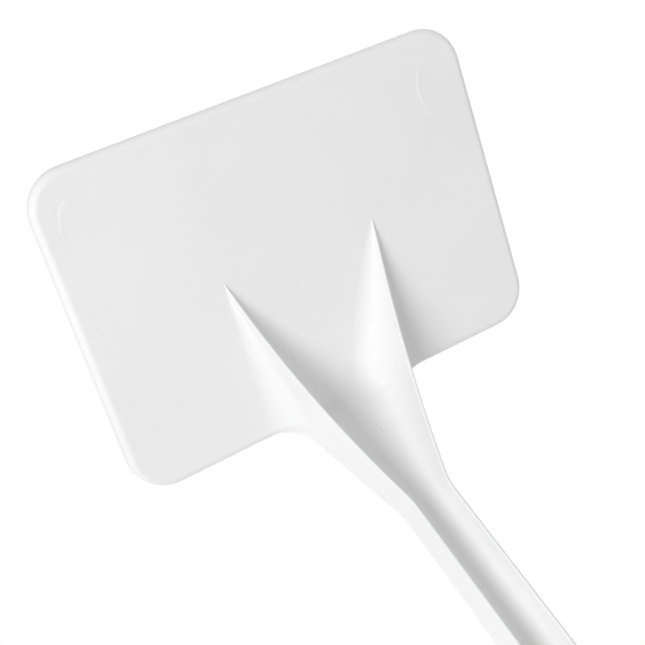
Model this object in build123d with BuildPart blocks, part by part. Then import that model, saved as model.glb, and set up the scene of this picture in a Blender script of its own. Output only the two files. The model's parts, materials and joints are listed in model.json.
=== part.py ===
"""Plant label stake: a tilted label plate on a channel-section stem with a pointed end, in millimetres.

The frame has +Z up along the stem, +X to the right of someone reading the label, and +Y to the back.
The origin is on the soil line, in the middle of the stem's inner floor.
"""
import os
from math import cos, radians, sin, sqrt, tan

from build123d import *

# Label plate
plate_width = 90.0
plate_height = 63.0
plate_thickness = 2.4
plate_corner_radius = 7.9
plate_back_edge_radius = 2.2
plate_tilt = 52.3

# Marks of the round ejector pins on the back of the plate, which stand a little proud of it
pin_radius = 3.8
pin_mark_height = 0.1
pin_mark_spacing = 74.8
pin_mark_below_top = 11.7

# Stem, a channel that is open to the back; its length runs from the plate's lower edge to the tip
stem_length = 233.0
soil_depth = 103.0
stem_width = 9.6
stem_crest_width = 8.7
stem_depth = 5.2
stem_floor_radius = 3.0
crest_thickness = 0.8

# Neck between the plate and the stem, and the two gussets that run up the plate from it
neck_length = 27.0
neck_width = 22.7
neck_root_radius = 5.5
neck_root_reach = 4.5
gusset_tip_height = 32.6
gusset_tip_spacing = 32.8
gusset_edge_radius = 98.0
gusset_base_thickness = 1.3
flare_radius = 5.0
throat_radius = 9.0
gusset_sections = 7
neck_sections = 5
gusset_tip_share = 0.02

# Oval trace of the moulding gate on the foot of the neck's left wall
gate_width = 1.5
gate_length = 2.3
gate_height = 0.15
gate_below_bend = 8.5
gate_left_of_middle = 1.2

# Pointed end of the stem
point_length = 28.0
point_tip_width = 2.6
point_tip_depth = 0.9
point_tip_floor_radius = 0.3
point_tip_crest_thickness = 0.4
point_tip_round = 1.0

# The bend is the plate's lower back edge, where the plate meets the neck's floor.
# The web's front face meets the plate's lower front edge, so the plate sets the web's thickness.
# The ejector pins ran straight to the back, so the plate's tilt draws their marks out into ovals.
tilt = radians(plate_tilt)
tip_height = -soil_depth
point_height = tip_height + point_length
bend_height = tip_height + stem_length
shoulder_height = bend_height - neck_length
flange_tip_height = tip_height + point_tip_round
plate_plane = Plane(origin=(0, 0, bend_height), x_dir=(1, 0, 0), z_dir=(0, -cos(tilt), sin(tilt)))
gusset_tip_rise = gusset_tip_height * cos(tilt)
gusset_tip_depth = gusset_tip_height * sin(tilt)
plate_lower_plane = Plane(origin=(0, 0, bend_height), x_dir=(1, 0, 0), z_dir=(0, sin(tilt), cos(tilt)))
plate_front_height = bend_height + plate_thickness * sin(tilt)
web_thickness = plate_thickness * cos(tilt)
pin_mark_reach = pin_radius / cos(tilt)
neck_slope = (neck_width - stem_width) / 2 / neck_length
neck_root_half_width = neck_width / 2 + neck_slope * (plate_front_height - bend_height)
stem_draft = (stem_width - stem_crest_width) / 2
stem_inner = stem_crest_width / 2 - crest_thickness - stem_draft / 2
stem_cove = min(stem_floor_radius, stem_inner)
neck_inner = neck_width / 2 - gusset_base_thickness
neck_cove = min(throat_radius, neck_inner)


def between(first, last, share):
    """Value at a share of the way from first to last."""
    return first + (last - first) * share


def ridge_depth(drop):
    """Depth of the gusset's curved back edge at a drop below the bend, from its tip to the shoulder."""
    run = neck_length + gusset_tip_rise
    fall = gusset_tip_depth - stem_depth
    half_chord = sqrt(run**2 + fall**2) / 2
    reach = sqrt(gusset_edge_radius**2 - half_chord**2) / (2 * half_chord)
    centre_drop = (neck_length - gusset_tip_rise) / 2 + fall * reach
    centre_depth = (gusset_tip_depth + stem_depth) / 2 + run * reach
    return centre_depth - sqrt(gusset_edge_radius**2 - (drop - centre_drop) ** 2)


def gusset_section(share):
    """Level section of the right gusset, flared on both sides, at a share of the way from tip to bend."""
    drop = gusset_tip_rise * (share - 1)
    base = -drop * tan(tilt)
    flare = flare_radius * share
    throat = neck_cove * share
    crest = ridge_depth(drop)
    outer = between(gusset_tip_spacing / 2 + crest_thickness / 2, neck_width / 2, share)
    inner = outer - between(crest_thickness, gusset_base_thickness, share)
    with BuildSketch(Plane.XY.offset(bend_height - drop)) as section:
        with BuildLine():
            outside = CenterArc((outer + flare, base + flare), flare, 270, -90)
            Line(outside @ 1, (outer, crest))
            Line((outer, crest), (outer - crest_thickness, crest))
            Line((outer - crest_thickness, crest), (inner, base + throat))
            inside = CenterArc((inner - throat, base + throat), throat, 0, -90)
            Line(inside @ 1, outside @ 0)
        make_face()
    return section.sketch


def wall_section(height, outer, outer_crest, crest, inner, cove, top_thickness):
    """Level section of a right-hand wall that stands on the web and is coved on its inner side."""
    with BuildSketch(Plane.XY.offset(height)) as section:
        with BuildLine():
            Line((outer, 0), (outer_crest, crest))
            Line((outer_crest, crest), (outer_crest - top_thickness, crest))
            Line((outer_crest - top_thickness, crest), (inner, cove))
            inside = CenterArc((inner - cove, cove), cove, 0, -90)
            Line(inside @ 1, (outer, 0))
        make_face()
    return section.sketch


def neck_section(share):
    """Level section of the right neck wall at a share of the way from the bend to the shoulder."""
    drop = neck_length * share
    outer = between(neck_width, stem_width, share) / 2
    outer_crest = between(neck_width, stem_crest_width, share) / 2
    inner = between(neck_inner, stem_inner, share)
    cove = between(neck_cove, stem_cove, share)
    height = bend_height - drop
    return wall_section(height, outer, outer_crest, ridge_depth(drop), inner, cove, crest_thickness)


def stem_section(height):
    """Level section of the stem's right flange."""
    return wall_section(
        height, stem_width / 2, stem_crest_width / 2, stem_depth, stem_inner, stem_cove, crest_thickness
    )


# Label plate: flat front, rounded corners, back edges rounded over, square where the neck joins it
with BuildPart() as label_plate:
    with BuildSketch(plate_plane) as plate_outline:
        with Locations((0, plate_height / 2)):
            RectangleRounded(plate_width, plate_height, plate_corner_radius)
    extrude(amount=plate_thickness)
    back_face = label_plate.faces().sort_by(Axis((0, 0, 0), plate_plane.z_dir))[0]
    fillet(back_face.edges(), radius=plate_back_edge_radius)
    with BuildSketch(plate_plane) as neck_joint:
        Rectangle(neck_width + 2 * flare_radius, plate_back_edge_radius, align=(Align.CENTER, Align.MIN))
    extrude(amount=plate_thickness)
    with BuildSketch(plate_plane) as pin_marks:
        with Locations((0, plate_height - pin_mark_below_top)):
            with GridLocations(pin_mark_spacing, 0, 2, 1):
                Ellipse(pin_radius, pin_mark_reach)
    extrude(amount=-pin_mark_height)

# Gussets: thin fins on the plate's back that rise from a point to the neck walls, flared into the plate
with BuildPart() as right_gusset:
    gusset_steps = [step / (gusset_sections - 1) for step in range(gusset_sections)]
    gusset_shares = [between(gusset_tip_share, 1, step) for step in gusset_steps]
    loft(sections=[gusset_section(share) for share in gusset_shares])

with BuildPart() as left_gusset:
    mirror(right_gusset.part, about=Plane.YZ)

# Neck web: the floor of the neck, which narrows from the plate to the stem and is rounded into the plate
with BuildPart() as neck_web:
    with BuildSketch(Plane.XZ) as neck_outline:
        with BuildLine() as right_side:
            Polyline(
                (0, plate_front_height + neck_root_radius),
                (plate_width / 2, plate_front_height + neck_root_radius),
                (plate_width / 2, plate_front_height),
                (neck_root_half_width, plate_front_height),
                (stem_width / 2, shoulder_height),
                (0, shoulder_height),
                close=True,
            )
        make_face()
        root_corner = neck_outline.vertices().sort_by_distance((neck_root_half_width, plate_front_height))[0]
        fillet(root_corner, radius=neck_root_radius)
        mirror(about=Plane.YZ)
        with Locations((0, shoulder_height)):
            Rectangle(
                2 * (neck_root_half_width + neck_root_reach),
                plate_front_height - shoulder_height,
                align=(Align.CENTER, Align.MIN),
                mode=Mode.INTERSECT,
            )
    extrude(amount=web_thickness)
    split(bisect_by=plate_lower_plane, keep=Keep.BOTTOM)

# Neck walls: the gussets carried on down to the stem, coved into the neck's floor.
# The left wall bears the gate's trace on its foot.
with BuildPart() as neck_right_wall:
    neck_shares = [step / (neck_sections - 1) for step in range(neck_sections)]
    loft(sections=[neck_section(share) for share in neck_shares])

with BuildPart() as neck_left_wall:
    mirror(neck_right_wall.part, about=Plane.YZ)
    with BuildSketch(Plane.XZ) as gate_trace:
        with Locations((-gate_left_of_middle, bend_height - gate_below_bend)):
            Ellipse(gate_width / 2, gate_length / 2)
    extrude(amount=-gate_height)

# Stem: a flat web with a flange along each side
with BuildPart() as stem_web:
    with BuildSketch(Plane.XY.offset(point_height)) as stem_strip:
        Rectangle(stem_width, web_thickness, align=(Align.CENTER, Align.MAX))
    extrude(amount=shoulder_height - point_height)

with BuildPart() as stem_right_flange:
    add(stem_section(point_height))
    extrude(amount=shoulder_height - point_height)

with BuildPart() as stem_left_flange:
    mirror(stem_right_flange.part, about=Plane.YZ)

# Point: the web and the flanges run out together to a narrow rounded end
with BuildPart() as point_web:
    with BuildSketch(Plane.XZ) as point_outline:
        with BuildLine() as point_side:
            Polyline(
                (-stem_width / 2, point_height),
                (stem_width / 2, point_height),
                (point_tip_width / 2, tip_height),
                (-point_tip_width / 2, tip_height),
                close=True,
            )
        make_face()
        tip_corners = point_outline.vertices().group_by(Axis.Y)[0]
        fillet(tip_corners, radius=point_tip_round)
    extrude(amount=web_thickness)

with BuildPart() as point_right_flange:
    tip_outer = point_tip_width / 2
    tip_inner = tip_outer - point_tip_crest_thickness
    tip_section = wall_section(
        flange_tip_height,
        tip_outer,
        tip_outer,
        point_tip_depth,
        tip_inner,
        point_tip_floor_radius,
        point_tip_crest_thickness,
    )
    loft(sections=[stem_section(point_height), tip_section], ruled=True)

with BuildPart() as point_left_flange:
    mirror(point_right_flange.part, about=Plane.YZ)

os.makedirs("parts", exist_ok=True)
pieces = {
    "label_plate": label_plate,
    "left_gusset": left_gusset,
    "right_gusset": right_gusset,
    "neck_web": neck_web,
    "neck_left_wall": neck_left_wall,
    "neck_right_wall": neck_right_wall,
    "stem_web": stem_web,
    "stem_left_flange": stem_left_flange,
    "stem_right_flange": stem_right_flange,
    "point_web": point_web,
    "point_left_flange": point_left_flange,
    "point_right_flange": point_right_flange,
}
for piece_name, piece in pieces.items():
    piece.part.label = piece_name
    export_step(piece.part, f"parts/{piece_name}.step")
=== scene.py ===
import json
from math import acos, atan2, cos, pi, radians, sin, sqrt

import bmesh
import bpy
from mathutils import Euler, Matrix, Vector


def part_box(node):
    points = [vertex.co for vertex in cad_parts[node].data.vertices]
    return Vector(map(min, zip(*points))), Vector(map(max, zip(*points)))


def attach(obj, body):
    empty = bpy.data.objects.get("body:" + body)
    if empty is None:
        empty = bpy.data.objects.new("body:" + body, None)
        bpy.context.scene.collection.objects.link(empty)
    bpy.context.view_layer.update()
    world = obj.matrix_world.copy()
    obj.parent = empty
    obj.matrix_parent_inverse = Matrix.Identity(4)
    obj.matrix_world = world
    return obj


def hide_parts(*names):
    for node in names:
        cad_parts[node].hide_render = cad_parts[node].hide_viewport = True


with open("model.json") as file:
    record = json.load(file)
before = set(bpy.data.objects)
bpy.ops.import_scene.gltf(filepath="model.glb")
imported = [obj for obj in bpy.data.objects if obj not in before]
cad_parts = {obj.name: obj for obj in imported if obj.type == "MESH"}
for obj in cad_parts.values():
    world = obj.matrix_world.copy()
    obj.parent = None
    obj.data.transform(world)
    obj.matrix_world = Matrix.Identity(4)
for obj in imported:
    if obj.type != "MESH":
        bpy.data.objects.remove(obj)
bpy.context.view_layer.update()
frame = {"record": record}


# Label plate
# The plate that is written on, moulded in white plastic in one shot with the rest of the stake. Its front is
# flat with a sharp edge, and its back edges are rounded over through more than half of the thickness.
MM = 0.001
plate_width = 90 * MM
plate_height = 63 * MM
plate_thickness = 2.4 * MM
plate_corner_radius = 7.9 * MM
plate_edge_radius = 1.5 * MM
plate_corner_steps = 14
plate_edge_steps = 14
flat_margin = 0.3 * MM
smooth_limit = radians(35)
label_face = next(mount for mount in frame["record"]["mounts"] if mount["name"] == "label_face")
plate_tilt = atan2(label_face["axis"][2], -label_face["axis"][1])
bend_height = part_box("left_gusset")[0].z


def on_plate(across, up, out):
    """Point at a height up the plate from its lower edge, and at a distance out of its back."""
    depth = up * sin(plate_tilt) + out * cos(plate_tilt)
    rise = up * cos(plate_tilt) - out * sin(plate_tilt)
    return Vector((across, depth, bend_height + rise))


def steps(count):
    """Even shares from 0 to 1."""
    return [step / count for step in range(count + 1)]


def eased_steps(count):
    """Shares from 0 to 1 that lie closer together at both ends."""
    return [(1 - cos(pi * share)) / 2 for share in steps(count)]


def plate_ring(inset, out):
    """The plate's outline, drawn in by an inset, at a distance out of its back."""
    radius = plate_corner_radius - inset
    ring = []
    for quarter in range(4):
        side = 1 if quarter in (0, 3) else -1
        end = 1 if quarter in (0, 1) else -1
        middle_x = side * (plate_width / 2 - plate_corner_radius)
        middle_up = plate_height / 2 + end * (plate_height / 2 - plate_corner_radius)
        for share in steps(plate_corner_steps):
            angle = (quarter + share) * pi / 2
            ring.append(on_plate(middle_x + radius * cos(angle), middle_up + radius * sin(angle), out))
    return ring


def join_rows(mesh, rows, closed=False):
    """Quads between neighbouring rows of vertices."""
    for first, second in zip(rows, rows[1:]):
        count = len(first) if closed else len(first) - 1
        for index in range(count):
            after = (index + 1) % len(first)
            mesh.faces.new((first[index], first[after], second[after], second[index]))


def new_piece(name, mesh, material):
    """Closed mesh turned into an object, smooth except at its real edges."""
    bmesh.ops.recalc_face_normals(mesh, faces=mesh.faces)
    data = bpy.data.meshes.new(name)
    mesh.to_mesh(data)
    mesh.free()
    data.materials.append(material)
    piece = bpy.data.objects.new(name, data)
    bpy.context.scene.collection.objects.link(piece)
    soften(data, smooth_limit)
    return piece


def soften(data, limit):
    """Smooth shading with sharp edges left where the shape turns by more than a limit."""
    data.shade_smooth()
    data.set_sharp_from_angle(angle=limit)


def white_plastic():
    """White moulded plastic: satin, with a fine mould texture and slow changes of tone from its flow."""
    material = bpy.data.materials.new("white_plastic")
    material.use_nodes = True
    nodes, links = material.node_tree.nodes, material.node_tree.links
    shader = nodes["Principled BSDF"]
    shader.inputs["IOR"].default_value = 1.47
    shader.inputs["Specular IOR Level"].default_value = 0.2
    place = nodes.new("ShaderNodeTexCoord")

    flow = nodes.new("ShaderNodeTexNoise")
    flow.inputs["Scale"].default_value = 45
    flow.inputs["Detail"].default_value = 3
    flow.inputs["Distortion"].default_value = 0.6
    links.new(place.outputs["Object"], flow.inputs["Vector"])
    tone = nodes.new("ShaderNodeValToRGB")
    tone.color_ramp.elements[0].position = 0.3
    tone.color_ramp.elements[0].color = (0.79, 0.79, 0.79, 1)
    tone.color_ramp.elements[1].position = 0.7
    tone.color_ramp.elements[1].color = (0.81, 0.81, 0.81, 1)
    links.new(flow.outputs["Fac"], tone.inputs["Fac"])
    links.new(tone.outputs["Color"], shader.inputs["Base Color"])

    handling = nodes.new("ShaderNodeTexNoise")
    handling.inputs["Scale"].default_value = 160
    handling.inputs["Detail"].default_value = 5
    links.new(place.outputs["Object"], handling.inputs["Vector"])
    satin = nodes.new("ShaderNodeMapRange")
    satin.inputs["To Min"].default_value = 0.4
    satin.inputs["To Max"].default_value = 0.52
    links.new(handling.outputs["Fac"], satin.inputs["Value"])
    links.new(satin.outputs["Result"], shader.inputs["Roughness"])

    grain = nodes.new("ShaderNodeTexNoise")
    grain.inputs["Scale"].default_value = 5200
    grain.inputs["Detail"].default_value = 2
    links.new(place.outputs["Object"], grain.inputs["Vector"])
    texture = nodes.new("ShaderNodeBump")
    texture.inputs["Strength"].default_value = 0.12
    texture.inputs["Distance"].default_value = 0.02 * MM
    links.new(grain.outputs["Fac"], texture.inputs["Height"])
    links.new(texture.outputs["Normal"], shader.inputs["Normal"])
    return material


plastic = white_plastic()
plate_mesh = bmesh.new()
plate_rings = [plate_ring(plate_edge_radius + flat_margin, 0)]
for share in eased_steps(plate_edge_steps):
    lean = share * pi / 2
    plate_rings.append(plate_ring(plate_edge_radius * (1 - sin(lean)), plate_edge_radius * (cos(lean) - 1)))
plate_rings.append(plate_ring(0, -plate_thickness))
plate_rows = [[plate_mesh.verts.new(point) for point in ring] for ring in plate_rings]
join_rows(plate_mesh, plate_rows, closed=True)
plate_mesh.faces.new(plate_rows[0])
plate_mesh.faces.new(plate_rows[-1])
label_plate = new_piece("label_plate", plate_mesh, plastic)
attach(label_plate, "root")
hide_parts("label_plate")


# Ejector marks
# Two marks that the mould's round ejector pins leave in the plate's back, near its upper corners. The pins
# met the tilted plate at a slant, so the marks are ovals in the plastic, each of them proud on one side only.
pin_radius = 3.8 * MM
mark_rim = 0.6 * MM
mark_height = 0.09 * MM
mark_depth = 0.18 * MM
mark_proud_sides = (radians(0), radians(60))
mark_smooth_limit = radians(6)
mark_spacing = 74.8 * MM
mark_below_top = 11.7 * MM
mark_sides = 72


def new_tree(name, sizes):
    """Geometry Nodes tree with a mesh and named sizes going in and a mesh coming out."""
    tree = bpy.data.node_groups.new(name, "GeometryNodeTree")
    tree.interface.new_socket("Geometry", in_out="INPUT", socket_type="NodeSocketGeometry")
    for size, kind in sizes.items():
        tree.interface.new_socket(size, in_out="INPUT", socket_type=kind)
    tree.interface.new_socket("Geometry", in_out="OUTPUT", socket_type="NodeSocketGeometry")
    return tree, tree.nodes.new("NodeGroupInput"), tree.nodes.new("NodeGroupOutput")


def grown_piece(name, start, tree, values, limit):
    """Mesh that a tree makes from a start mesh and its sizes, as an object with a plain mesh."""
    piece = bpy.data.objects.new(name, start)
    bpy.context.scene.collection.objects.link(piece)
    modifier = piece.modifiers.new(tree.name, "NODES")
    modifier.node_group = tree
    for socket in tree.interface.items_tree:
        if socket.in_out == "INPUT" and socket.name in values:
            modifier[socket.identifier] = values[socket.name]
    scene_state = bpy.context.evaluated_depsgraph_get()
    data = bpy.data.meshes.new_from_object(piece.evaluated_get(scene_state))
    piece.modifiers.remove(modifier)
    piece.data = data
    soften(data, limit)
    return piece


mark_sizes = {
    "Radius": "NodeSocketFloat",
    "Rim": "NodeSocketFloat",
    "Depth": "NodeSocketFloat",
    "First": "NodeSocketVector",
    "Step": "NodeSocketVector",
    "Turn": "NodeSocketVector",
    "Turn Step": "NodeSocketVector",
    "Stretch": "NodeSocketVector",
    "Material": "NodeSocketMaterial",
}
mark_tree, mark_in, mark_out = new_tree("ejector_marks", mark_sizes)
pin_face = mark_tree.nodes.new("GeometryNodeMeshCone")
pin_face.inputs["Vertices"].default_value = mark_sides
pin_places = mark_tree.nodes.new("GeometryNodeMeshLine")
pin_places.inputs["Count"].default_value = len(mark_proud_sides)
pin_top = mark_tree.nodes.new("ShaderNodeMath")
pin_top.operation = "SUBTRACT"
pin_number = mark_tree.nodes.new("GeometryNodeInputIndex")
pin_turn = mark_tree.nodes.new("ShaderNodeVectorMath")
pin_turn.operation = "MULTIPLY_ADD"
pin_marks = mark_tree.nodes.new("GeometryNodeInstanceOnPoints")
pin_real = mark_tree.nodes.new("GeometryNodeRealizeInstances")
pin_finish = mark_tree.nodes.new("GeometryNodeSetMaterial")
for source, target in (
    (mark_in.outputs["Radius"], pin_top.inputs[0]),
    (mark_in.outputs["Rim"], pin_top.inputs[1]),
    (pin_top.outputs[0], pin_face.inputs["Radius Top"]),
    (mark_in.outputs["Radius"], pin_face.inputs["Radius Bottom"]),
    (mark_in.outputs["Depth"], pin_face.inputs["Depth"]),
    (mark_in.outputs["First"], pin_places.inputs["Start Location"]),
    (mark_in.outputs["Step"], pin_places.inputs["Offset"]),
    (pin_places.outputs["Mesh"], pin_marks.inputs["Points"]),
    (pin_face.outputs["Mesh"], pin_marks.inputs["Instance"]),
    (pin_number.outputs["Index"], pin_turn.inputs[0]),
    (mark_in.outputs["Turn Step"], pin_turn.inputs[1]),
    (mark_in.outputs["Turn"], pin_turn.inputs[2]),
    (pin_turn.outputs["Vector"], pin_marks.inputs["Rotation"]),
    (mark_in.outputs["Stretch"], pin_marks.inputs["Scale"]),
    (pin_marks.outputs["Instances"], pin_real.inputs["Geometry"]),
    (pin_real.outputs["Geometry"], pin_finish.inputs["Geometry"]),
    (mark_in.outputs["Material"], pin_finish.inputs["Material"]),
    (pin_finish.outputs["Geometry"], mark_out.inputs["Geometry"]),
):
    mark_tree.links.new(source, target)


def mark_turn(proud_side):
    """Turn of a mark that leans out of the plate's back on one side, an angle from +X up the plate."""
    across, up = cos(proud_side), sin(proud_side)
    reach = sqrt((pin_radius * across) ** 2 + (pin_radius * up / cos(plate_tilt)) ** 2)
    onto_plate = Matrix.Rotation(-pi / 2 - plate_tilt, 3, "X")
    lean = Matrix.Rotation(mark_height / reach, 3, Vector((-up, -across, 0)))
    return Vector((onto_plate @ lean).to_euler())


first_turn, last_turn = [mark_turn(proud_side) for proud_side in mark_proud_sides]
mark_up = plate_height - mark_below_top
ejector_marks = grown_piece(
    "ejector_marks",
    bpy.data.meshes.new("ejector_marks_start"),
    mark_tree,
    {
        "Radius": pin_radius + mark_rim / 2,
        "Rim": mark_rim,
        "Depth": mark_depth,
        "First": on_plate(-mark_spacing / 2, mark_up, -mark_depth),
        "Step": Vector((mark_spacing, 0, 0)),
        "Turn": first_turn,
        "Turn Step": last_turn - first_turn,
        "Stretch": Vector((1, 1 / cos(plate_tilt), 1)),
        "Material": plastic,
    },
    mark_smooth_limit,
)
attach(ejector_marks, "root")


# Gussets
# Two thin fins moulded on the plate's back. Each starts at a point, grows down to the plate's lower edge and
# carries on as a wall of the neck. Its feet are flared into the plate: wide inside the throat, less outside.
gusset_tip_up = 32.6 * MM
gusset_tip_across = 16.4 * MM
gusset_rows = 40
ridge_radius = 98 * MM
tip_crest_half = 0.28 * MM
stem_crest_half = 0.38 * MM
crest_tip_share = 0.3
wall_taper = 0.5 * MM
throat_width = 8.9 * MM
neck_cove_share = 1.25
tip_cove_share = 1.02
flare_width = 6.5 * MM
flare_rise = 5.4 * MM
flare_share = 0.5
inner_steps = 26
wall_steps = 6
foot_steps = 16
crest_steps = 8
bend_rounding = 0.5 * MM
web_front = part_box("stem_web")[0].y
stem_half_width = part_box("stem_web")[1].x
stem_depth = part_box("stem_left_flange")[1].y
stem_crest_across = 4.0 * MM
shoulder_drop = bend_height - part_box("stem_web")[1].z
shoulder_round = 2.0 * MM
neck_half_width = 11.35 * MM
tip_drop = -gusset_tip_up * cos(plate_tilt)
tip_depth = gusset_tip_up * sin(plate_tilt)

# The ridge of a gusset is a circle through its tip and the shoulder, seen from the side.
ridge_run = shoulder_drop - tip_drop
ridge_fall = tip_depth - stem_depth
ridge_chord = sqrt(ridge_run**2 + ridge_fall**2)
ridge_reach = sqrt(ridge_radius**2 - ridge_chord**2 / 4) / ridge_chord
ridge_middle_drop = (shoulder_drop + tip_drop) / 2 + ridge_fall * ridge_reach
ridge_middle_depth = (tip_depth + stem_depth) / 2 + ridge_run * ridge_reach
ridge_middle_up = ridge_middle_depth * sin(plate_tilt) - ridge_middle_drop * cos(plate_tilt)
ridge_middle_out = ridge_middle_depth * cos(plate_tilt) + ridge_middle_drop * sin(plate_tilt)


def between(first, last, share):
    """Value at a share of the way from first to last."""
    return first + (last - first) * share


def place(across, drop, depth):
    """Point at a drop below the bend and a depth to the back."""
    return Vector((across, depth, bend_height - drop))


def drop_depth(up, out):
    """A place on the plate as a drop below the bend and a depth to the back."""
    return out * sin(plate_tilt) - up * cos(plate_tilt), up * sin(plate_tilt) + out * cos(plate_tilt)


def eased_drop(drop):
    """A drop that stops at the shoulder, with the corner there rounded over."""
    before = shoulder_drop - drop
    if before >= shoulder_round:
        return drop
    if before <= -shoulder_round:
        return shoulder_drop
    return shoulder_drop - (before + shoulder_round) ** 2 / (4 * shoulder_round)


def ridge_depth(drop):
    """Depth of the ridge at a drop below the bend."""
    return ridge_middle_depth - sqrt(ridge_radius**2 - (eased_drop(drop) - ridge_middle_drop) ** 2)


def ridge_out(up):
    """Height of the ridge above the plate's back."""
    return ridge_middle_out - sqrt(ridge_radius**2 - (up - ridge_middle_up) ** 2)


def to_tip(drop):
    """Share of the way from the shoulder up to the gusset's tip."""
    return (shoulder_drop - eased_drop(drop)) / ridge_run


def above_plate(drop, depth):
    """Distance out of the plate's back."""
    return depth * cos(plate_tilt) + drop * sin(plate_tilt)


def above_floor(drop, depth):
    """Distance from the plate's back or the neck's floor, the nearer one, with the bend rounded."""
    out = above_plate(drop, depth)
    share = min(max(0.5 + (depth - out) / (2 * bend_rounding), 0), 1)
    return between(depth, out, share) - bend_rounding * share * (1 - share)


def crest_half_at(drop):
    """Half the thickness of the crest, which runs out at the gusset's tip."""
    height = above_plate(drop, ridge_depth(drop))
    return min(between(stem_crest_half, tip_crest_half, to_tip(drop)), crest_tip_share * max(height, 0))


def outer_wall(drop, depth):
    """Distance of the outer wall from the middle, between the neck's front edge and the crest."""
    crest = between(stem_crest_across, gusset_tip_across, to_tip(drop)) + crest_half_at(drop)
    front = between(stem_half_width, neck_half_width, to_tip(drop) * ridge_run / shoulder_drop)
    share = (depth - web_front) / (ridge_depth(drop) - web_front)
    return between(front, crest, share)


def cove(rise, width, top, share):
    """How far a cove stands in from its wall at a rise above the floor.

    It follows an ellipse whose height is a share of the wall's, and it runs out at the wall's top.
    """
    height = share * top
    inset = 1 - sqrt(max(1 - (1 - rise / height) ** 2, 0))
    inset_at_top = 1 - sqrt(1 - (1 - top / height) ** 2)
    return width * (inset - inset_at_top) / (1 - inset_at_top)


def inner_side(foot, ridge, cove_width, thickness):
    """Points from the cove's edge on the floor, up the inner wall and over the rounded crest."""
    crest = crest_half_at(ridge[0])
    cove_share = between(neck_cove_share, tip_cove_share, max(0, ridge[0] / tip_drop))
    lift = Vector((ridge[0] - foot[0], ridge[1] - foot[1]))
    wall = lift.length - crest
    rise = lift.normalized()
    top = above_floor(foot[0] + rise.x * wall, foot[1] + rise.y * wall)
    side = []
    for share in eased_steps(inner_steps):
        up = wall * (1 - cos(share * pi / 2))
        drop, depth = foot[0] + rise.x * up, foot[1] + rise.y * up
        inset = between(thickness, 2 * crest, up / wall)
        inset += cove(above_floor(drop, depth), cove_width, top, cove_share)
        side.append(place(outer_wall(drop, depth) - inset, drop, depth))
    crest_across = outer_wall(foot[0] + rise.x * wall, foot[1] + rise.y * wall) - crest
    for share in steps(crest_steps)[1:]:
        angle = (1 - share) * pi
        up = wall + crest * sin(angle)
        side.append(place(crest_across + crest * cos(angle), foot[0] + rise.x * up, foot[1] + rise.y * up))
    return side


def gusset_feet(up):
    """Width of the throat's cove, width and rise of the outer flare, and the wall's base thickness."""
    share = 1 - up / gusset_tip_up
    growth = 1 - (1 - share) ** 2
    flare_out = min(flare_rise * share, flare_share * ridge_out(up))
    thickness = 2 * crest_half_at(drop_depth(up, ridge_out(up))[0]) + wall_taper * share
    return throat_width * growth, flare_width * share, flare_out, thickness


def gusset_row(up):
    """Section of the right gusset, square to the plate, from its inner foot to its outer foot."""
    cove_width, flare_across, flare_out, thickness = gusset_feet(up)
    ridge = drop_depth(up, ridge_out(up))
    row = inner_side(drop_depth(up, 0), ridge, cove_width, thickness)
    wall_out = ridge_out(up) - crest_half_at(ridge[0])
    for share in steps(wall_steps)[1:]:
        out = between(wall_out, flare_out, share)
        row.append(on_plate(outer_wall(*drop_depth(up, out)), up, out))
    for share in eased_steps(foot_steps)[1:]:
        angle = (1 - share) * pi / 2
        out = flare_out * (1 - cos(angle))
        row.append(on_plate(outer_wall(*drop_depth(up, out)) + flare_across * (1 - sin(angle)), up, out))
    return row


def mirrored(points, side):
    """Points on the right-hand side, or their mirror images on the left."""
    return [Vector((side * point.x, point.y, point.z)) for point in points]


for name, side in (("right_gusset", 1), ("left_gusset", -1)):
    gusset_mesh = bmesh.new()
    tip = gusset_mesh.verts.new(on_plate(side * gusset_tip_across, gusset_tip_up, 0))
    rows = []
    for share in steps(gusset_rows)[1:]:
        points = gusset_row(between(gusset_tip_up, plate_edge_radius, share))
        rows.append([gusset_mesh.verts.new(point) for point in mirrored(points, side)])
    join_rows(gusset_mesh, rows)
    for first, second in zip(rows[0], rows[0][1:]):
        gusset_mesh.faces.new((tip, first, second))
    gusset_mesh.faces.new(rows[-1])
    gusset_mesh.faces.new([tip] + [row[0] for row in rows] + [row[-1] for row in reversed(rows)])
    gusset = new_piece(name, gusset_mesh, plastic)
    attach(gusset, "root")
    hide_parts(name)


# Neck
# The throat that carries the plate: a floor and two walls that narrow to the stem, moulded in one with the
# gussets. Its outer feet roll round the plate's lower edge, and its floor bends up into the plate's back.
stem_cove = 3.2 * MM
stem_base_thickness = 1.45 * MM
neck_rows = 56
root_rows = 16
row_gathering = 1.5
root_gathering = 1.6
floor_shares = (0, 0.35, 0.7)
neck_end_drop = shoulder_drop + shoulder_round
bend_reach = bend_rounding / sin(plate_tilt)
plate_stretch = plate_edge_radius - bend_reach
bend_stretch = 2 * bend_reach
floor_length = plate_stretch + bend_reach + neck_end_drop
floor_start_drop = drop_depth(plate_edge_radius, 0)[0]
ridge_start_drop = drop_depth(plate_edge_radius, ridge_out(plate_edge_radius))[0]
root_cove, root_flare_across, root_flare_out, root_thickness = gusset_feet(plate_edge_radius)


def floor_at(length):
    """Drop and depth along the floor: down the plate's back, round the bend and down the neck."""
    if length <= plate_stretch:
        return drop_depth(plate_edge_radius - length, 0)
    turned = (length - plate_stretch) / bend_stretch
    if turned >= 1:
        return length - plate_stretch - bend_reach, 0.0
    out = bend_rounding * turned**2
    depth = bend_rounding * (1 - turned) ** 2
    return drop_depth((depth - out * cos(plate_tilt)) / sin(plate_tilt), out)


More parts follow.
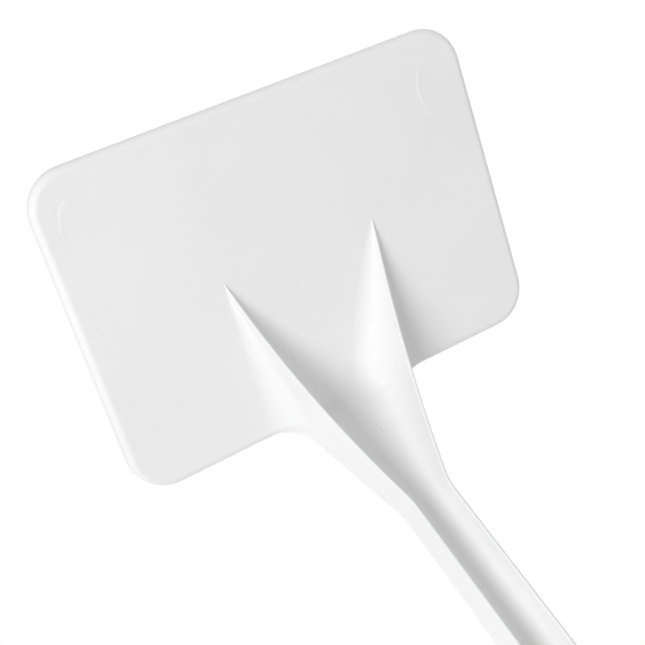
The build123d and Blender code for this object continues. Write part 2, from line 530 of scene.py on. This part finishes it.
def root_place(angle, share):
    """Drop and depth on the outer foot where it rolls round the plate's lower edge to the neck's front."""
    reach = plate_edge_radius + root_flare_out * (1 - cos(angle))
    front = web_front - drop_depth(plate_edge_radius, -plate_edge_radius)[1]
    full_turn = acos(max(front / reach, -sin(plate_tilt))) - plate_tilt
    straight = max(0, -front - reach * sin(plate_tilt)) / cos(plate_tilt)
    way = share * (reach * full_turn + straight)
    turn = min(way / reach, full_turn)
    sink = way - reach * turn
    return drop_depth(plate_edge_radius - reach * sin(turn), reach * cos(turn) - plate_edge_radius - sink)


root_drop = root_place(pi / 2, 1)[0]


def neck_half(row):
    """Row of the neck's right half, from the floor's middle over the wall to its outer foot or front edge."""
    share = (row / neck_rows) ** row_gathering
    foot = floor_at(share * floor_length)
    ridge_drop = between(ridge_start_drop, neck_end_drop, share)
    ridge = (ridge_drop, ridge_depth(ridge_drop))
    narrowing = (eased_drop(foot[0]) - floor_start_drop) / (shoulder_drop - floor_start_drop)
    cove_width = between(root_cove, stem_cove, narrowing)
    thickness = between(root_thickness, stem_base_thickness, narrowing)
    side = inner_side(foot, ridge, cove_width, thickness)
    points = [place(part * side[0].x, *foot) for part in floor_shares] + side
    if row <= root_rows:
        rolled = (row / root_rows) ** root_gathering
        outer_foot = root_place(pi / 2, rolled)
    else:
        lower = (row - root_rows) / (neck_rows - root_rows)
        outer_foot = (between(root_drop, neck_end_drop, lower), web_front)
    wall_drop, wall_depth = bend_height - side[-1].z, side[-1].y
    for part in steps(wall_steps)[1:]:
        drop = between(wall_drop, outer_foot[0], part)
        depth = between(wall_depth, outer_foot[1], part)
        points.append(place(outer_wall(drop, depth), drop, depth))
    if row <= root_rows:
        for part in eased_steps(foot_steps)[1:]:
            angle = (1 - part) * pi / 2
            drop, depth = root_place(angle, rolled)
            points.append(place(outer_wall(drop, depth) + root_flare_across * (1 - sin(angle)), drop, depth))
    return points


def both_halves(mesh, right_half):
    """Rows of vertices on the right-hand half and on its mirror image, which share the floor's middle."""
    middle = [mesh.verts.new(points[0]) for points in right_half]
    halves = []
    for side in (1, -1):
        rows = [[mesh.verts.new(point) for point in mirrored(points[1:], side)] for points in right_half]
        halves.append([[centre] + row for centre, row in zip(middle, rows)])
    return halves


neck_mesh = bmesh.new()
neck_points = [neck_half(row) for row in range(neck_rows + 1)]
wall_count = len(neck_points[-1])
right, left = both_halves(neck_mesh, neck_points)
for rows in (right, left):
    join_rows(neck_mesh, rows[: root_rows + 1])
    join_rows(neck_mesh, [row[:wall_count] for row in rows[root_rows:]])
inner_foot = len(floor_shares)
for rows in (right, left):
    neck_mesh.faces.new(rows[0][inner_foot:])
# The hidden face that lies against the plate starts where the two fins and the floor stand on it.
top_line = right[0][: inner_foot + 1][::-1] + left[0][1 : inner_foot + 1]
neck_mesh.faces.new([right[1][-1], right[0][-1]] + top_line + [left[0][-1], left[1][-1]])
for row in range(1, root_rows):
    neck_mesh.faces.new((right[row][-1], right[row + 1][-1], left[row + 1][-1], left[row][-1]))
front_right = right[root_rows][wall_count:][::-1] + [row[wall_count - 1] for row in right[root_rows:]]
front_left = left[root_rows][wall_count:][::-1] + [row[wall_count - 1] for row in left[root_rows:]]
neck_mesh.faces.new(front_right + front_left[::-1])
neck_mesh.faces.new(right[-1][::-1] + left[-1][1:])
neck = new_piece("neck", neck_mesh, plastic)
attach(neck, "root")
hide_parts("neck_web", "neck_left_wall", "neck_right_wall")


# Gate trace
# The small scar on the neck's floor where the melt came into the mould and the runner was snapped off. It is
# a low oval dome of the same plastic, whose edge goes a little way into the floor.
gate_half_width = 0.75 * MM
gate_half_length = 1.15 * MM
gate_height = 0.25 * MM
gate_drop = 8.5 * MM
gate_across = -1.2 * MM
gate_sides = 28
gate_rings = 6
gate_mesh = bmesh.new()
gate_rows = []
for share in steps(gate_rings)[1:]:
    height = gate_height * (1 - share**2)
    sunk = 0 if share < 1 else gate_height
    gate_row = []
    for turn in steps(gate_sides)[:-1]:
        across = gate_across + gate_half_width * share * cos(turn * 2 * pi)
        drop = gate_drop + gate_half_length * share * sin(turn * 2 * pi)
        gate_row.append(gate_mesh.verts.new(place(across, drop, height - sunk)))
    gate_rows.append(gate_row)
join_rows(gate_mesh, gate_rows, closed=True)
gate_mesh.faces.new(gate_rows[0])
gate_mesh.faces.new(gate_rows[-1])
gate_trace = new_piece("gate_trace", gate_mesh, plastic)
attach(gate_trace, "root")


# Stem
# A straight channel, open to the back, with a round floor and rounded crests. It is one section carried down
# from the shoulder to the point, so the tree below draws it out of that section.
point_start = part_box("point_web")[1].z
stem_sizes = {"Length": "NodeSocketFloat", "Material": "NodeSocketMaterial"}
stem_tree, stem_in, stem_out = new_tree("channel_stem", stem_sizes)
draw_out = stem_tree.nodes.new("GeometryNodeExtrudeMesh")
draw_out.mode = "FACES"
draw_out.inputs["Offset"].default_value = (0, 0, -1)
draw_out.inputs["Individual"].default_value = False
upper_end = stem_tree.nodes.new("GeometryNodeFlipFaces")
whole_stem = stem_tree.nodes.new("GeometryNodeJoinGeometry")
weld = stem_tree.nodes.new("GeometryNodeMergeByDistance")
weld.inputs["Distance"].default_value = 0.001 * MM
stem_real = stem_tree.nodes.new("GeometryNodeRealizeInstances")
stem_finish = stem_tree.nodes.new("GeometryNodeSetMaterial")
for source, target in (
    (stem_in.outputs["Geometry"], draw_out.inputs["Mesh"]),
    (stem_in.outputs["Length"], draw_out.inputs["Offset Scale"]),
    (stem_in.outputs["Geometry"], upper_end.inputs["Mesh"]),
    (draw_out.outputs["Mesh"], whole_stem.inputs["Geometry"]),
    (upper_end.outputs["Mesh"], whole_stem.inputs["Geometry"]),
    (whole_stem.outputs["Geometry"], weld.inputs["Geometry"]),
    (weld.outputs["Geometry"], stem_real.inputs["Geometry"]),
    (stem_real.outputs["Geometry"], stem_finish.inputs["Geometry"]),
    (stem_in.outputs["Material"], stem_finish.inputs["Material"]),
    (stem_finish.outputs["Geometry"], stem_out.inputs["Geometry"]),
):
    stem_tree.links.new(source, target)
stem_half_section = neck_points[-1]
section_mesh = bmesh.new()
section_loop = stem_half_section[::-1] + mirrored(stem_half_section[1:], -1)
section_face = section_mesh.faces.new([section_mesh.verts.new(point) for point in section_loop])
section_face.normal_update()
if section_face.normal.z > 0:
    section_face.normal_flip()
stem_start = bpy.data.meshes.new("stem_start")
section_mesh.to_mesh(stem_start)
section_mesh.free()
stem_top = bend_height - neck_end_drop
stem_values = {"Length": stem_top - point_start, "Material": plastic}
stem = grown_piece("stem", stem_start, stem_tree, stem_values, smooth_limit)
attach(stem, "root")
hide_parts("stem_web", "stem_left_flange", "stem_right_flange")


# Point
# The stem's end, which is pushed into the soil, moulded in one with it. The channel's floor and sides run out
# together to a narrow tip with rounded corners.
tip_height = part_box("point_web")[0].z
tip_half_width = 1.3 * MM
tip_depth_left = 0.9 * MM
tip_round = 1.0 * MM
tip_cove = 0.35 * MM
point_crest_half = 0.2 * MM
point_base_thickness = 0.55 * MM
point_rows = 20
round_rows = 8


def point_half(height):
    """Row of the right half of the point, from the floor's middle over the wall to its front edge."""
    gone = (point_start - height) / (point_start - tip_height)
    over = max(0, tip_round - (height - tip_height)) / tip_round
    front = between(stem_half_width, tip_half_width, gone) - tip_round * (1 - sqrt(max(0, 1 - over**2)))
    depth = between(stem_depth, tip_depth_left, gone) * (1 - over**2)
    crest = min(between(stem_crest_half, point_crest_half, gone), depth / 4)
    lean = (stem_half_width - stem_crest_across - stem_crest_half) * (1 - gone)
    thickness = min(between(stem_base_thickness, point_base_thickness, gone), front)
    cove_width = min(between(stem_cove, tip_cove, gone), front - thickness)
    wall = depth - crest
    points = [Vector((part * (front - thickness - cove_width), 0, height)) for part in floor_shares]
    for share in eased_steps(inner_steps):
        up = wall * (1 - cos(share * pi / 2))
        part = (up - web_front) / (wall - web_front)
        inset = between(thickness, 2 * crest, up / wall) if wall > 0 else 2 * crest
        inset += cove(up, cove_width, wall, neck_cove_share) if wall > 0 else 0
        points.append(Vector((front - lean * part - inset, up, height)))
    for share in steps(crest_steps)[1:]:
        angle = (1 - share) * pi
        points.append(Vector((front - lean + crest * (cos(angle) - 1), wall + crest * sin(angle), height)))
    for part in steps(wall_steps)[1:]:
        points.append(Vector((front - lean * (1 - part), between(wall, web_front, part), height)))
    return points


point_mesh = bmesh.new()
round_start = tip_height + tip_round
heights = [between(point_start, round_start, share) for share in steps(point_rows)]
heights += [between(round_start, tip_height, sin(share * pi / 2)) for share in steps(round_rows)[1:]]
point_points = [[Vector((end.x, end.y, point_start)) for end in stem_half_section]]
point_points += [point_half(height) for height in heights[1:]]
right, left = both_halves(point_mesh, point_points)
for rows in (right, left):
    join_rows(point_mesh, rows)
for row in (0, -1):
    point_mesh.faces.new(right[row][::-1] + left[row][1:])
for row in range(len(right) - 1):
    point_mesh.faces.new((right[row][-1], right[row + 1][-1], left[row + 1][-1], left[row][-1]))
point = new_piece("point", point_mesh, plastic)
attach(point, "root")
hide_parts("point_web", "point_left_flange", "point_right_flange")


# Floor and background
# A plain pale round floor under the tip, which keeps the object's shadow. The camera and reflections see
# plain white behind the object, and a weaker even light fills the rest.
floor_radius = 0.25
floor_sides = 128
floor_mesh = bmesh.new()
bmesh.ops.create_circle(floor_mesh, cap_ends=True, segments=floor_sides, radius=floor_radius)
floor_data = bpy.data.meshes.new("floor")
floor_mesh.to_mesh(floor_data)
floor_mesh.free()
floor = bpy.data.objects.new("floor", floor_data)
floor.location.z = tip_height
bpy.context.scene.collection.objects.link(floor)
floor_paint = bpy.data.materials.new("floor_paint")
floor_paint.use_nodes = True
floor_shader = floor_paint.node_tree.nodes["Principled BSDF"]
floor_shader.inputs["Base Color"].default_value = (0.86, 0.86, 0.86, 1)
floor_shader.inputs["Roughness"].default_value = 0.8
floor_data.materials.append(floor_paint)

world = bpy.data.worlds.new("studio")
bpy.context.scene.world = world
world.use_nodes = True
world_nodes, world_links = world.node_tree.nodes, world.node_tree.links
fill = world_nodes["Background"]
fill.inputs["Color"].default_value = (1, 1, 1, 1)
fill.inputs["Strength"].default_value = 0.55
backdrop = world_nodes.new("ShaderNodeBackground")
backdrop.inputs["Color"].default_value = (1, 1, 1, 1)
backdrop.inputs["Strength"].default_value = 1
rays = world_nodes.new("ShaderNodeLightPath")
seen = world_nodes.new("ShaderNodeMath")
seen.operation = "MAXIMUM"
mirrored_rays = world_nodes.new("ShaderNodeMath")
mirrored_rays.operation = "MAXIMUM"
shown = world_nodes.new("ShaderNodeMixShader")
for source, target in (
    (rays.outputs["Is Glossy Ray"], mirrored_rays.inputs[0]),
    (rays.outputs["Is Transmission Ray"], mirrored_rays.inputs[1]),
    (rays.outputs["Is Camera Ray"], seen.inputs[0]),
    (mirrored_rays.outputs[0], seen.inputs[1]),
    (seen.outputs[0], shown.inputs["Fac"]),
    (fill.outputs["Background"], shown.inputs[1]),
    (backdrop.outputs["Background"], shown.inputs[2]),
    (shown.outputs["Shader"], world_nodes["World Output"].inputs["Surface"]),
):
    world_links.new(source, target)


# Lights
# A soft key lamp stands low behind the object, on the side that the picture shows bright. A soft lamp in
# front lights the side that is written on, and a wide one lights the edges on the dark side.
lamp_aim = Vector((0, 20 * MM, bend_height))
for name, bearing, elevation, distance, size, power in (
    ("key_lamp", 40, -20, 0.9, 0.5, 5.3),
    ("label_lamp", -90, 0, 1.0, 1.0, 5.2),
    ("edge_lamp", 180, 30, 1.0, 2.0, 3.5),
):
    lamp_data = bpy.data.lights.new(name, "AREA")
    lamp_data.shape = "DISK"
    lamp_data.size = size
    lamp_data.energy = power
    lamp = bpy.data.objects.new(name, lamp_data)
    level = cos(radians(elevation))
    across, back = level * cos(radians(bearing)), level * sin(radians(bearing))
    lamp_way = Vector((across, back, sin(radians(elevation))))
    lamp.location = lamp_aim + distance * lamp_way
    lamp.rotation_euler = lamp_way.to_track_quat("Z", "Y").to_euler()
    bpy.context.scene.collection.objects.link(lamp)


# Camera
# It looks up at the plate's back from behind, below and one side, turned on its axis as the photo is. Its
# place, turn and lens are fitted to the outline in the photo.
camera_data = bpy.data.cameras.new("camera")
camera_data.sensor_width = 36
camera_data.lens = 65.74
camera = bpy.data.objects.new("camera", camera_data)
camera.location = (76.98 * MM, 192.85 * MM, 21.86 * MM)
camera.rotation_euler = Euler((radians(127.512), radians(31.370), radians(178.614)))
camera_data.clip_start = 0.01
bpy.context.scene.collection.objects.link(camera)
bpy.context.scene.camera = camera

bpy.context.scene.view_settings.view_transform = "Standard"
